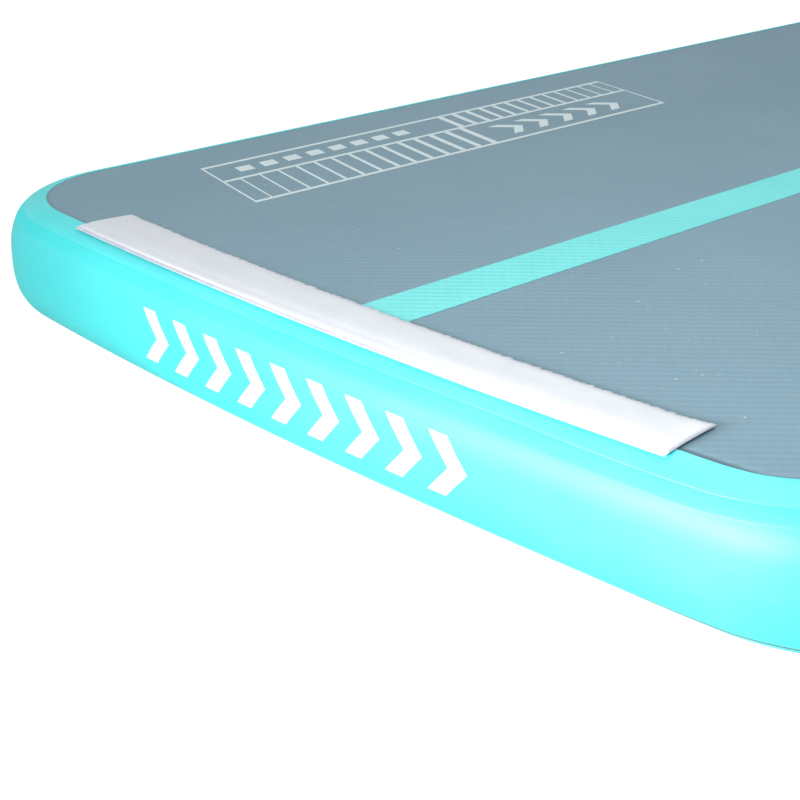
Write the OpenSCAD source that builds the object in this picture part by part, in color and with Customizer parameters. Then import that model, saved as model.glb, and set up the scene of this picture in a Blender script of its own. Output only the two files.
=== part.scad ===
// Inflatable air track mat for tumbling: a drop-stitch panel with a grey deck, a turquoise
// side wall, loop fastener strips at both ends, carry straps and an inflation valve.
// Millimetres. +Z up, width along X, length along Y, origin in the middle of the base.

/* [Mat] */
// Width over the side walls
mat_w = 1000; // [900:10:1100]
// Length over the middle of the two bulged ends
mat_l = 3000; // [2800:50:4000]
// Height from the floor to the top of the border tape
mat_t = 105; // [103:1:110]
// Bulge of each short end, measured over the full width
end_bow = 26; // [20:1:32]
// Plan radius of the four corners
corner_r = 139; // [130:1:150]
// Radius of the shoulders between the wall and the flat faces
shoulder_r = 34; // [33:1:36]

/* [Skins] */
// Thickness of the laminated deck skin
deck_skin_t = 1.0; // [0.8:0.1:1.2]
// Thickness of the underside skin
base_skin_t = 1.0; // [0.8:0.1:1.2]
// Thickness of each base fabric of the drop-stitch panel
fabric_t = 0.6; // [0.5:0.1:0.8]
// Thickness of the outer side wall
wall_t = 0.9; // [0.8:0.1:1.2]
// Thickness of the inner side wall
inner_wall_t = 0.7; // [0.6:0.1:0.9]
// Diameter of one bundle of spacer yarns
yarn_d = 1.6; // [1.2:0.2:2.4]
// Spacing of the yarn bundles
yarn_pitch = 75; // [70:5:100]

/* [Seam tapes] */
// Thickness of the border tapes
tape_t = 0.8; // [0.6:0.1:1.0]
// How far the top tape laps over the deck skin
tape_lap = 4; // [3:1:6]
// Depth of the top seam below the deck
top_seam_drop = 9; // [8:1:9]
// Height of the bottom seam above the floor
bottom_seam_rise = 9; // [7:1:12]

/* [Stripe and loop strips] */
// Width of the guide stripe along the deck
stripe_w = 50; // [40:5:60]
// Sideways offset of the guide stripe
stripe_off = 21; // [0:1:30]
// Thickness of the guide stripe
stripe_t = 0.4; // [0.3:0.1:0.5]
// Length of each loop strip across the end
strip_len = 640; // [560:10:680]
// Distance of the strip's inner edge from the end of the mat
strip_in = 79; // [70:1:90]
// Distance of the strip's outer edge from the end of the mat
strip_out = 24; // [22:1:28]
// Thickness of the strip's woven backing
backing_t = 0.8; // [0.6:0.1:1.0]
// Thickness of the loop pile
pile_t = 1.6; // [1.2:0.2:2.0]
// Width of the bare selvage along the outer edge
selvage_w = 4; // [3:1:5]

/* [Printed markings] */
// Thickness of the printed film
print_t = 0.2; // [0.2:0.1:0.3]
// Length of the two-row frame printed on the deck
frame_len = 598; // [590:1:610]
// Number of graduated bars in each row
bar_count = 13; // [12:1:13]

/* [Carry straps] */
// Width of the webbing
strap_w = 25; // [20:1:30]
// Thickness of the webbing
strap_t = 2; // [1.6:0.2:2.4]
// Free length between the two patches
strap_chord = 220; // [200:10:240]
// Angle at which the slack strap leaves the wall
strap_angle = 25; // [22:1:28]

/* [Valve] */
// Position of the valve along the mat
valve_y = 1150; // [1000:10:1200]
// Diameter of the moulded pad under the valve
pad_d = 72; // [68:1:74]
// Diameter of the valve flange
flange_d = 56; // [54:1:60]
// Inner diameter of the inflation port
port_d = 25; // [24:1:26]

/* [Hidden] */
$fn = 96;
// fragments on the large arcs across the ends, and on the small arcs drawn inside them
arc_fn = 1440;
shoulder_fn = 96;

// plan geometry: one large arc across each end, tangent to the corner arcs
end_r = round((mat_w * mat_w / 4 + end_bow * end_bow) / (2 * end_bow));
end_cy = end_r - mat_l / 2;
corner_x = mat_w / 2 - corner_r;
corner_a = asin(corner_x / (end_r - corner_r));
corner_y = end_cy - (end_r - corner_r) * cos(corner_a);
reach = 2 * corner_r;

// heights of the layers
deck_z = mat_t - tape_t;
fabric_z = deck_z - deck_skin_t;
core_top = fabric_z - fabric_t;
core_bottom = base_skin_t + fabric_t;
mid_z = mat_t / 2;
flat_h = mat_t - 2 * shoulder_r;
outer_in = tape_t + wall_t;
inner_in = outer_in + inner_wall_t;

// yarn field
yarn_margin = 60;
yarn_nx = floor((mat_w / 2 - yarn_margin) / yarn_pitch);
yarn_ny = floor((mat_l / 2 - yarn_margin - end_bow) / yarn_pitch);

// printed frame on the deck, slanted like a leaning ruler
slant = 0.262;
frame_y = 197 - mat_l / 2;
frame_inner_x = -273;
frame_mid_x = -348;
frame_outer_x = -402;
line_w = 5;
thin_w = 2;
bar_w_min = 1.8;
bar_w_max = 7.4;
inner_bar_pitch = 22.8;
outer_bar_pitch = 21.3;
inner_bar_start = 20;
outer_bar_start = 322;
chevron_pitch = 40;
dash_pitch = 30;

// chevrons on the end wall
mark_z = 31;
mark_h = 44;
mark_w = 17;
mark_lean = 20;
mark_pitch = 41;
mark_count = 9;
mark_x = -182;

// carry straps
wall_x = mat_w / 2 - tape_t;
strap_tab = 46;
strap_lap = 3;
strap_spread = 0.3;
strap_r = strap_chord / 2 / sin(strap_angle);
strap_sag = strap_r * (1 - cos(strap_angle));
strap_sweep = strap_angle + 2;
patch_h = 35;
patch_over = 12;
patch_t = 1.2;
patch_corner = 9;

// valve, along its own axis from the wall outwards
pad_t = 2;
gasket_t = 1.2;
flange_t = 3;
tube_r = 16;
port_r = port_d / 2;
seat_h = 3;
seat_r = 8.5;
tube_depth = 18;
hub_r = 5;
hub_bore_r = 2.8;
hub_t = 3;
hub_h = -12;
arm_w = 3;
arm_t = 2;
stem_r = 2.5;
button_r = 6;
button_t = 3;
button_h = -1.2;
disc_gap = 0.1;
disc_r = 11;
disc_t = 2.4;
foot_r = 9;
foot_t = 2;
spring_r = 4;
spring_wire_r = 0.45;
spring_turns = 4;
nut_r = 25;
nut_t = 6.4;
cap_seal_t = 1.2;
cap_r = 24;
cap_t = 3.6;
plug_gap = 0.5;
plug_wall = 3;
plug_depth = 4.8;
grip_l = 38;
grip_w = 7;
grip_h = 5;
face_h = pad_t + gasket_t;
mouth_h = face_h + flange_t;
cap_h = mouth_h + cap_seal_t;
cut = 1;

deck_grey = [0.53, 0.61, 0.66];
base_grey = [0.42, 0.46, 0.50];
aqua = [0.36, 0.91, 0.91];
aqua_dark = [0.30, 0.78, 0.79];
white = [0.94, 0.94, 0.95];
yarn_white = [0.90, 0.90, 0.86];
webbing_grey = [0.25, 0.27, 0.30];
valve_grey = [0.30, 0.32, 0.34];
rubber_black = [0.10, 0.10, 0.11];
steel = [0.72, 0.73, 0.75];

// flat outline of the panel, drawn d inside its outermost edge
module plan(d) {
    translate([d - mat_w / 2, corner_y]) square([mat_w - 2 * d, -2 * corner_y]);
    for (far = [0, 1]) mirror([0, far]) {
        intersection() {
            translate([0, end_cy]) circle(end_r - d, $fn = arc_fn);
            polygon([[-corner_x, corner_y], [corner_x, corner_y],
                [corner_x + reach * sin(corner_a), corner_y - reach * cos(corner_a)],
                [-corner_x - reach * sin(corner_a), corner_y - reach * cos(corner_a)]]);
        }
        for (left = [0, 1]) mirror([left, 0]) translate([corner_x, corner_y]) intersection() {
            circle(corner_r - d);
            polygon([[0, 0], [reach, 0], [reach, -reach],
                [reach * sin(corner_a), -reach * cos(corner_a)]]);
        }
    }
}

// sections are drawn with x = 0 at the outermost edge of the mat and y as the height
module side_sweep() {
    translate([mat_w / 2, -corner_y, 0]) rotate([90, 0, 0]) linear_extrude(-2 * corner_y)
        children();
}

module end_arc(half_angle) {
    translate([0, end_cy, 0]) rotate([0, 0, 270 - half_angle])
        rotate_extrude(angle = 2 * half_angle, $fn = arc_fn) translate([end_r, 0]) children();
}

module end_sweep() {
    end_arc(corner_a) children();
    for (left = [0, 1]) mirror([left, 0, 0]) translate([corner_x, corner_y, 0])
        rotate([0, 0, corner_a - 90]) rotate_extrude(angle = 90 - corner_a)
            translate([corner_r, 0]) children();
}

// quarter of a ring from radius r_in to r_out, on the outer side of a shoulder
module quarter_ring(r_in, r_out) {
    intersection() {
        difference() {
            circle(r_out, $fn = shoulder_fn);
            circle(r_in, $fn = shoulder_fn);
        }
        square(r_out + cut);
    }
}

module at_top_shoulder() {
    translate([-shoulder_r, mat_t - shoulder_r]) children();
}

module at_bottom_shoulder() {
    translate([-shoulder_r, shoulder_r]) mirror([0, 1]) children();
}

// wall layer between two depths below the outermost surface
module wall_section(d_out, d_in) {
    at_top_shoulder() quarter_ring(shoulder_r - d_in, shoulder_r - d_out);
    at_bottom_shoulder() quarter_ring(shoulder_r - d_in, shoulder_r - d_out);
    translate([-d_in, shoulder_r]) square([d_in - d_out, flat_h]);
}

// everything inside a depth, used to fit pieces against the curved wall
module inside_section(d) {
    for (top = [0, 1]) translate([-shoulder_r, top ? mat_t - shoulder_r : shoulder_r])
        mirror([0, top ? 0 : 1]) intersection() {
            circle(shoulder_r - d);
            square(shoulder_r);
        }
    translate([-shoulder_r, shoulder_r]) square([shoulder_r - d, flat_h]);
    translate([-2 * shoulder_r, d]) square([shoulder_r, mat_t - 2 * d]);
}

module top_tape_section() {
    at_top_shoulder() intersection() {
        quarter_ring(shoulder_r - tape_t, shoulder_r);
        translate([0, shoulder_r - top_seam_drop]) square([shoulder_r, top_seam_drop + cut]);
    }
    translate([-shoulder_r - tape_lap, deck_z]) square([tape_lap, tape_t]);
}

module bottom_tape_section() {
    at_bottom_shoulder() intersection() {
        quarter_ring(shoulder_r - tape_t, shoulder_r);
        translate([0, shoulder_r - bottom_seam_rise])
            square([shoulder_r, bottom_seam_rise + cut]);
    }
}

module backing_section() {
    at_top_shoulder() intersection() {
        quarter_ring(shoulder_r, shoulder_r + backing_t);
        square([shoulder_r - strip_out, 2 * shoulder_r]);
    }
    translate([-shoulder_r - tape_lap, mat_t]) square([tape_lap, backing_t]);
    translate([-strip_in, deck_z])
        square([strip_in - shoulder_r - tape_lap, tape_t + backing_t]);
}

module pile_section() {
    at_top_shoulder() intersection() {
        quarter_ring(shoulder_r + backing_t, shoulder_r + backing_t + pile_t);
        square([shoulder_r - strip_out - selvage_w, 2 * shoulder_r]);
    }
    translate([-strip_in, mat_t + backing_t]) square([strip_in - shoulder_r, pile_t]);
}

module strip_sweep() {
    end_arc(asin(strip_len / 2 / end_r)) children();
}

module far() {
    mirror([0, 1, 0]) children();
}

module left() {
    mirror([1, 0, 0]) children();
}

module stripe_band(h) {
    translate([stripe_off - stripe_w / 2, shoulder_r + tape_lap + cut - mat_l / 2, deck_z])
        cube([stripe_w, mat_l - 2 * (shoulder_r + tape_lap + cut), h]);
}

module deck_skin() color(deck_grey)
    translate([0, 0, fabric_z]) linear_extrude(deck_skin_t) plan(shoulder_r);

module base_skin() color(base_grey) linear_extrude(base_skin_t) plan(shoulder_r);

module upper_base_fabric() color(yarn_white)
    translate([0, 0, core_top]) linear_extrude(fabric_t) plan(shoulder_r);

module lower_base_fabric() color(yarn_white)
    translate([0, 0, base_skin_t]) linear_extrude(fabric_t) plan(shoulder_r);

module spacer_yarns() color(yarn_white)
    for (i = [-yarn_nx:yarn_nx], j = [-yarn_ny:yarn_ny])
        translate([i * yarn_pitch, j * yarn_pitch, core_bottom])
            cylinder(h = core_top - core_bottom, d = yarn_d);

module near_inner_wall() color(yarn_white) end_sweep() wall_section(outer_in, inner_in);

module far_inner_wall() color(yarn_white) far() end_sweep() wall_section(outer_in, inner_in);

module right_inner_wall() color(yarn_white) side_sweep() wall_section(outer_in, inner_in);

module left_inner_wall() color(yarn_white) difference() {
    left() side_sweep() wall_section(outer_in, inner_in);
    valve_hole();
}

module near_end_wall() color(aqua) end_sweep() wall_section(tape_t, outer_in);

module far_end_wall() color(aqua) far() end_sweep() wall_section(tape_t, outer_in);

module left_side_wall() color(aqua) difference() {
    left() side_sweep() wall_section(tape_t, outer_in);
    valve_hole();
}

module right_side_wall() color(aqua) side_sweep() wall_section(tape_t, outer_in);

module near_top_tape() color(aqua) end_sweep() top_tape_section();

module far_top_tape() color(aqua) far() end_sweep() top_tape_section();

module left_top_tape() color(aqua) left() side_sweep() top_tape_section();

module right_top_tape() color(aqua) side_sweep() top_tape_section();

module near_bottom_tape() color(aqua_dark) end_sweep() bottom_tape_section();

module far_bottom_tape() color(aqua_dark) far() end_sweep() bottom_tape_section();

module left_bottom_tape() color(aqua_dark) left() side_sweep() bottom_tape_section();

module right_bottom_tape() color(aqua_dark) side_sweep() bottom_tape_section();

module guide_stripe() color(aqua) stripe_band(stripe_t);

module near_strip_backing() color(white) difference() {
    strip_sweep() backing_section();
    stripe_band(stripe_t);
}

module far_strip_backing() color(white) difference() {
    far() strip_sweep() backing_section();
    stripe_band(stripe_t);
}

module near_loop_pile() color(white) strip_sweep() pile_section();

module far_loop_pile() color(white) far() strip_sweep() pile_section();

// leaning bar of width w between two positions across the deck
module lean_bar(x_a, x_b, y, w) {
    y_a = frame_y + y + slant * (frame_inner_x - x_a);
    y_b = frame_y + y + slant * (frame_inner_x - x_b);
    polygon([[x_a, y_a], [x_a, y_a + w], [x_b, y_b + w], [x_b, y_b]]);
}

module chevron(x_a, x_b, y, w) {
    x_m = (x_a + x_b) / 2;
    tip = abs(x_b - x_a) / 2;
    polygon([[x_a, y], [x_m, y + tip], [x_b, y], [x_b, y + w], [x_m, y + w + tip],
        [x_a, y + w]]);
}

module deck_print() color(white) translate([0, 0, deck_z]) linear_extrude(print_t) {
    lean_bar(frame_inner_x, frame_inner_x - line_w, 0, frame_len);
    lean_bar(frame_mid_x + line_w / 2, frame_mid_x - line_w / 2, 0, frame_len);
    lean_bar(frame_outer_x + line_w, frame_outer_x, 0, frame_len);
    lean_bar(frame_inner_x, frame_outer_x, 0, thin_w);
    lean_bar(frame_inner_x, frame_outer_x, frame_len - thin_w, thin_w);
    for (i = [0:bar_count]) lean_bar(frame_inner_x - cut, frame_mid_x, inner_bar_start
        + i * inner_bar_pitch, bar_w_min + (bar_w_max - bar_w_min) * i / bar_count);
    for (i = [0:bar_count - 1]) lean_bar(frame_mid_x, frame_outer_x + cut, outer_bar_start
        + i * outer_bar_pitch, bar_w_max - (bar_w_max - bar_w_min) * i / bar_count);
    for (i = [0:4]) chevron(frame_inner_x - 18, frame_mid_x + 18,
        frame_y + 365 + i * chevron_pitch, 14);
    for (i = [0:7]) lean_bar(frame_mid_x - 18, frame_outer_x + 20, 32 + i * dash_pitch, 18);
}

module end_marks() {
    for (i = [0:mark_count - 1]) translate([mark_x + i * mark_pitch, mark_z])
        polygon([[0, 0], [mark_w, 0], [mark_w + mark_lean, mark_h / 2], [mark_w, mark_h],
            [0, mark_h], [mark_lean, mark_h / 2]]);
}

module end_print() color(white) intersection() {
    strip_sweep() wall_section(tape_t - print_t, tape_t);
    translate([0, shoulder_r - mat_l / 2, 0]) rotate([90, 0, 0])
        linear_extrude(2 * shoulder_r) end_marks();
}

// end of the webbing, pressed a little wider where it is welded down
module strap_tab_block() {
    translate([wall_x, -strap_chord / 2 - strap_tab, mid_z - strap_w / 2 - strap_spread])
        cube([strap_t, strap_tab + strap_lap, strap_w + 2 * strap_spread]);
}

// slack band bowed off the wall, trimmed where it runs into its welded ends
module carry_strap() {
    intersection() {
        translate([wall_x + strap_t / 2 + strap_sag - strap_r, 0, mid_z - strap_w / 2])
            rotate([0, 0, -strap_sweep]) rotate_extrude(angle = 2 * strap_sweep)
                translate([strap_r - strap_t / 2, 0]) square([strap_t, strap_w]);
        translate([wall_x + strap_spread, -strap_chord, 0])
            cube([strap_chord, 2 * strap_chord, mat_t]);
    }
    for (other = [0, 1]) mirror([0, other, 0]) strap_tab_block();
}

module right_carry_strap() color(webbing_grey) carry_strap();

module left_carry_strap() color(webbing_grey) left() carry_strap();

module patch_outline() {
    patch_l = strap_tab + patch_over;
    translate([0, -patch_h / 2]) square([patch_l - patch_corner, patch_h]);
    translate([patch_l - patch_corner, patch_corner - patch_h / 2])
        square([patch_corner, patch_h - 2 * patch_corner]);
    for (s = [-1, 1]) translate([patch_l - patch_corner, s * (patch_h / 2 - patch_corner)])
        intersection() {
            circle(patch_corner);
            translate([0, s > 0 ? 0 : -patch_corner]) square(patch_corner);
        }
}

module strap_patches() color(aqua)
    for (side = [0, 1], end = [0, 1]) mirror([side, 0, 0]) mirror([0, end, 0]) difference() {
        translate([wall_x, -strap_chord / 2 - strap_lap, mid_z]) rotate([0, 90, 0])
            linear_extrude(strap_t + patch_t) rotate([0, 0, -90]) patch_outline();
        strap_tab_block();
    }

// valve frame: z runs outwards along the valve axis from the wall surface
module on_wall() {
    translate([-wall_x, valve_y, mid_z]) rotate([0, -90, 0]) children();
}

module disc(h, t, r) {
    translate([0, 0, h]) cylinder(h = t, r = r);
}

module valve_hole() {
    on_wall() disc(-2 * nut_t, 4 * nut_t, tube_r);
}

module valve_pad() color(aqua) difference() {
    on_wall() disc(-nut_t, nut_t + pad_t, pad_d / 2);
    left() side_sweep() inside_section(tape_t);
    valve_hole();
}

module valve_gasket() color(rubber_black) on_wall() difference() {
    disc(pad_t, gasket_t, flange_d / 2 - 1);
    disc(pad_t - cut, gasket_t + 2 * cut, tube_r);
}

module valve_base() color(valve_grey) on_wall() {
    difference() {
        union() {
            disc(face_h, flange_t, flange_d / 2);
            disc(-tube_depth, tube_depth + face_h, tube_r);
        }
        disc(seat_h - tube_depth, tube_depth + mouth_h, port_r);
        disc(-tube_depth - cut, seat_h + 2 * cut, seat_r);
    }
    difference() {
        union() {
            disc(hub_h, hub_t, hub_r);
            for (a = [0:120:240]) rotate([0, 0, a])
                translate([hub_bore_r, -arm_w / 2, hub_h + (hub_t - arm_t) / 2])
                    cube([port_r - hub_bore_r + cut, arm_w, arm_t]);
        }
        disc(hub_h - cut, hub_t + 2 * cut, hub_bore_r);
    }
}

module valve_back_nut() color(valve_grey) difference() {
    intersection() {
        on_wall() disc(-nut_t - inner_in, nut_t + inner_in, nut_r);
        left() side_sweep() inside_section(inner_in);
    }
    on_wall() disc(-2 * nut_t, 4 * nut_t, tube_r);
}

module valve_stem() color(valve_grey) on_wall() {
    disc(-tube_depth - disc_gap - disc_t, tube_depth + disc_gap + disc_t + button_h + button_t / 2,
        stem_r);
    disc(-tube_depth - disc_gap - disc_t - foot_t, foot_t, foot_r);
}

module valve_button() color(rubber_black) on_wall() difference() {
    disc(button_h, button_t, button_r);
    disc(button_h - cut, button_t / 2 + cut, stem_r);
}

module valve_seal_disc() color(rubber_black) on_wall() difference() {
    disc(-tube_depth - disc_gap - disc_t, disc_t, disc_r);
    disc(-tube_depth - disc_gap - disc_t - cut, disc_t + 2 * cut, stem_r);
}

// coil spring drawn as closed rings, one per turn, resting on the hub and under the button
module valve_spring() color(steel) on_wall() {
    spring_from = hub_h + hub_t + spring_wire_r;
    spring_to = button_h - spring_wire_r;
    for (i = [0:spring_turns - 1])
        translate([0, 0, spring_from + (spring_to - spring_from) * i / (spring_turns - 1)])
            rotate_extrude() translate([spring_r, 0]) circle(spring_wire_r);
}

module cap_seal() color(rubber_black) on_wall() difference() {
    disc(mouth_h, cap_seal_t, port_r + plug_wall);
    disc(mouth_h - cut, cap_seal_t + 2 * cut, port_r + plug_gap / 2);
}

module valve_cap() color(valve_grey) on_wall() {
    difference() {
        union() {
            disc(cap_h, cap_t, cap_r);
            disc(cap_h - plug_depth, plug_depth, port_r - plug_gap);
        }
        disc(cap_h - plug_depth - cut, plug_depth + cut, port_r - plug_gap - plug_wall);
    }
    translate([-grip_l / 2, -grip_w / 2, cap_h + cap_t]) cube([grip_l, grip_w, grip_h]);
}

deck_skin();
base_skin();
upper_base_fabric();
lower_base_fabric();
spacer_yarns();
near_inner_wall();
far_inner_wall();
left_inner_wall();
right_inner_wall();
near_end_wall();
far_end_wall();
left_side_wall();
right_side_wall();
near_top_tape();
far_top_tape();
left_top_tape();
right_top_tape();
near_bottom_tape();
far_bottom_tape();
left_bottom_tape();
right_bottom_tape();
guide_stripe();
near_strip_backing();
near_loop_pile();
far_strip_backing();
far_loop_pile();
deck_print();
end_print();
left_carry_strap();
right_carry_strap();
strap_patches();
valve_pad();
valve_gasket();
valve_base();
valve_back_nut();
valve_stem();
valve_button();
valve_seal_disc();
valve_spring();
cap_seal();
valve_cap();
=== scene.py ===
"""Air track mat: visible skins, tapes, loop strips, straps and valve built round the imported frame.

Metres, in the frame of the CAD model: +Z up, width along X, length along Y.
"""
import math

import bmesh
import bpy
import numpy as np
from mathutils import Matrix, Vector
from mathutils.kdtree import KDTree


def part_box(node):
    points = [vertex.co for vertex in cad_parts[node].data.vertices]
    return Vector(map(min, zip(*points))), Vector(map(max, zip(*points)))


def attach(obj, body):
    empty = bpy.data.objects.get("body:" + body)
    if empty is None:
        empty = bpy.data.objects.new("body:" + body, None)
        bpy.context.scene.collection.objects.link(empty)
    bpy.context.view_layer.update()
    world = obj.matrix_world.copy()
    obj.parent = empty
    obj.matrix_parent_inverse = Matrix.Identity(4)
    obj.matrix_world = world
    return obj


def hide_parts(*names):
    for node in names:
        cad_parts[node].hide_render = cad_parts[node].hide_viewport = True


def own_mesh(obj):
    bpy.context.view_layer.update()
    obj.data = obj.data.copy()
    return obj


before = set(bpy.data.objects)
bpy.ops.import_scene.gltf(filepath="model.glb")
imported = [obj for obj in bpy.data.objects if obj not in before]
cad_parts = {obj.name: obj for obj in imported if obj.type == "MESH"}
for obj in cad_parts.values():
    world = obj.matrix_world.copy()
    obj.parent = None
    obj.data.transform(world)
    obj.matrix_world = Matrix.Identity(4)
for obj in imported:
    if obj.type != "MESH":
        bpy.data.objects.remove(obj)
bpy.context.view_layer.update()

MM = 0.001
TAU = 2 * math.pi

# -------- sizes taken from the frame
TOP_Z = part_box("right_top_tape")[1].z
DECK_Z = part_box("deck_skin")[1].z
TAPE = TOP_Z - DECK_Z              # thickness of the border tape over the skins
HALF_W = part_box("right_side_wall")[1].x + TAPE
END_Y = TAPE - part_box("near_end_wall")[0].y
WALL_X = HALF_W - TAPE
MID_Z = TOP_Z / 2
CORNER_R = 139 * MM
END_BOW = 26 * MM
END_R = (HALF_W**2 + END_BOW**2) / (2 * END_BOW)
END_CY = END_R - END_Y
CORNER_X = HALF_W - CORNER_R
CORNER_A = math.asin(CORNER_X / (END_R - CORNER_R))
CORNER_Y = END_CY - (END_R - CORNER_R) * math.cos(CORNER_A)

WALL = 0.9 * MM                    # thickness of the side wall
SKIN = 1.0 * MM                    # thickness of the deck and base skins
UNDER_TAPE = 0.05 * MM             # gap between a tape and the skin that it covers
BORDER_IN = 36.2 * MM              # inner edge of the border tape
SEAM_IN = 14.6 * MM                # outer edge of the border tape, on the shoulder
BOTTOM_SEAM_IN = 21.5 * MM         # outer edge of the bottom tape
PANEL_IN = 34.5 * MM               # edge of the deck and base covers, under the border tape
LAP_IN = 33 * MM                   # where the side wall ends, under both tapes
VALVE_Y = (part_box("valve_base")[0].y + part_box("valve_base")[1].y) / 2
PORT_HOLE_R = 16.05 * MM           # hole in the walls for the valve body
LAYER_BELOW = 12 * MM              # where the layer under the wall ends, down from the top seam


# -------- small helpers
def smooth(x, low, high):
    t = np.clip((np.asarray(x, float) - low) / (high - low), 0, 1)
    return t * t * (3 - 2 * t)


def band(x, rise, fall):
    """0 before rise, 1 from rise to fall, and 0 after fall; both are ramps with a start and an end."""
    return smooth(x, *rise) * (1 - smooth(x, *fall))


def hashed(i, j, seed):
    """Repeatable pseudo-random numbers from 0 to 1 on whole-number places."""
    h = (i.astype(np.int64) * 374761393 + j.astype(np.int64) * 668265263 + seed * 974711) & 0xFFFFFFFF
    h = ((h ^ (h >> 13)) * 1274126177) & 0xFFFFFFFF
    return ((h ^ (h >> 16)) & 0xFFFFFF) / float(0xFFFFFF)


def noise(x, y, seed=0):
    """Smooth value noise from -1 to 1, one lump per unit."""
    x, y = np.broadcast_arrays(np.asarray(x, float), np.asarray(y, float))
    i, j = np.floor(x), np.floor(y)
    u, v = x - i, y - j
    u, v = u * u * (3 - 2 * u), v * v * (3 - 2 * v)
    a, b, c, d = (hashed(i + p, j + q, seed) for q in (0, 1) for p in (0, 1))
    return 2 * ((a * (1 - u) + b * u) * (1 - v) + (c * (1 - u) + d * u) * v) - 1


def lumps(s, *rows):
    """Noise along a line: each row gives a height, a length and a seed."""
    return sum(height * noise(s / length, 0, seed) for height, length, seed in rows)


def face_outwards(mesh):
    """Turns the faces of a closed mesh the right way out."""
    bm = bmesh.new()
    bm.from_mesh(mesh)
    if bm.calc_volume(signed=True) < 0:
        mesh.flip_normals()
    bm.free()


def write_fabric(mesh, places):
    """Gives each point of the mesh its place on its cloth."""
    layer = mesh.attributes.new("fabric", "FLOAT_VECTOR", "POINT")
    layer.data.foreach_set("vector", np.asarray(places, np.float32).ravel())


def new_object(name, verts, faces, fabric=None):
    """A mesh object from arrays of points and faces; fabric holds each point's place on its cloth."""
    mesh = bpy.data.meshes.new(name)
    mesh.from_pydata(np.asarray(verts, float).reshape(-1, 3).tolist(), [], faces)
    mesh.update()
    mesh.shade_smooth()
    if fabric is not None:
        write_fabric(mesh, fabric)
    if len(faces) > 1:
        face_outwards(mesh)
    obj = bpy.data.objects.new(name, mesh)
    bpy.context.scene.collection.objects.link(obj)
    return obj


def xyz(x, y, z):
    return np.stack(np.broadcast_arrays(x, y, z), -1)


def full_turn(n):
    return np.linspace(0, TAU, n, endpoint=False)


def grid_faces(n, m, wrap_n=False, wrap_m=False, start=0):
    """Quads of an n by m grid of points numbered row by row."""
    i = np.arange(n if wrap_n else n - 1)
    j = np.arange(m if wrap_m else m - 1)
    i, j = np.meshgrid(i, j, indexing="ij")
    i2, j2 = (i + 1) % n, (j + 1) % m
    quads = np.stack([i * m + j, i2 * m + j, i2 * m + j2, i * m + j2], -1) + start
    return quads.reshape(-1, 4).tolist()


def two_sheets(n, m):
    """Faces of a closed solid between two n by m grids of points, one after the other."""
    rim = [i * m for i in range(n - 1, 0, -1)] + list(range(m - 1)) + [
        i * m + m - 1 for i in range(n - 1)] + [(n - 1) * m + j for j in range(m - 1, 0, -1)]
    lower = [face[::-1] for face in grid_faces(n, m, start=n * m)]
    walls = [[a, b, b + n * m, a + n * m] for a, b in zip(rim, rim[-1:] + rim[:-1])]
    return grid_faces(n, m) + lower + walls


def closed_sheet(name, top, low, fabric=None):
    """A closed solid between two grids of points that match."""
    both = None if fabric is None else np.stack([fabric, fabric])
    obj = new_object(name, np.stack([top, low]), two_sheets(*top.shape[:2]), fabric=both)
    sharpen(obj, 50)
    return obj


class Shapes:
    """Closed shapes gathered into one mesh."""

    def __init__(self):
        self.verts, self.faces, self.count = [], [], 0

    def take(self, points, faces):
        """faces number the points from 0."""
        self.verts.append(points.reshape(-1, 3))
        self.faces += [[self.count + k for k in face] for face in faces]
        self.count += len(self.verts[-1])

    def made(self, name):
        return new_object(name, np.concatenate(self.verts), self.faces)


def finish_piece(obj, material, *nodes, body="mat"):
    """Gives the piece its material and its body, and hides the CAD nodes that it replaces.
    nodes are the CAD nodes that the piece stands for."""
    obj.data.materials.clear()
    obj.data.materials.append(material)
    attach(obj, body)
    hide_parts(*nodes)
    material.name.split(".")[0]
    return obj


def sharpen(obj, degrees):
    """Hard edges where faces meet at more than that angle."""
    obj.data.set_sharp_from_angle(angle=math.radians(degrees))


# -------- outline of the mat, counter-clockwise
def outline(near_step, side_step, far_step):
    """Points on the outermost edge, their outward normals and the distance along it."""
    pts, nrm = [], []

    def steps(a, b, scale, step):
        n = max(2, int(round(abs(b - a) * scale / step)))
        return [a + (b - a) * k / n for k in range(n)]

    def arc(sx, sy, a0, a1, step, middle=(0, END_CY), radius=END_R):
        for a in steps(a0, a1, radius, step):
            nx, ny = sx * math.sin(a), -sy * math.cos(a)
            pts.append((sx * middle[0] + radius * nx, sy * middle[1] + radius * ny))
            nrm.append((nx, ny))

    def corner(sx, sy, a0, a1, step):
        arc(sx, sy, a0, a1, step, (CORNER_X, CORNER_Y), CORNER_R)

    def side(sx, y0, y1):
        for y in steps(y0, y1, 1, side_step):
            pts.append((sx * HALF_W, y))
            nrm.append((sx, 0.0))

    quarter = math.pi / 2
    arc(1, 1, 0, CORNER_A, near_step)
    corner(1, 1, CORNER_A, quarter, near_step)
    side(1, CORNER_Y, -CORNER_Y)
    corner(1, -1, quarter, CORNER_A, far_step)
    arc(1, -1, CORNER_A, -CORNER_A, far_step)
    corner(-1, -1, CORNER_A, quarter, far_step)
    side(-1, -CORNER_Y, CORNER_Y)
    corner(-1, 1, quarter, CORNER_A, near_step)
    arc(1, 1, -CORNER_A, 0, near_step)
    p, n = np.array(pts), np.array(nrm)
    gap = np.linalg.norm(np.roll(p, -1, 0) - p, axis=1)
    along = np.concatenate([[0], np.cumsum(gap)[:-1]])
    total = gap.sum()
    along = np.where(along > total / 2, along - total, along)
    return p, n, along


PATH_P, PATH_N, PATH_S = outline(1.6 * MM, 8 * MM, 4 * MM)


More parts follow.
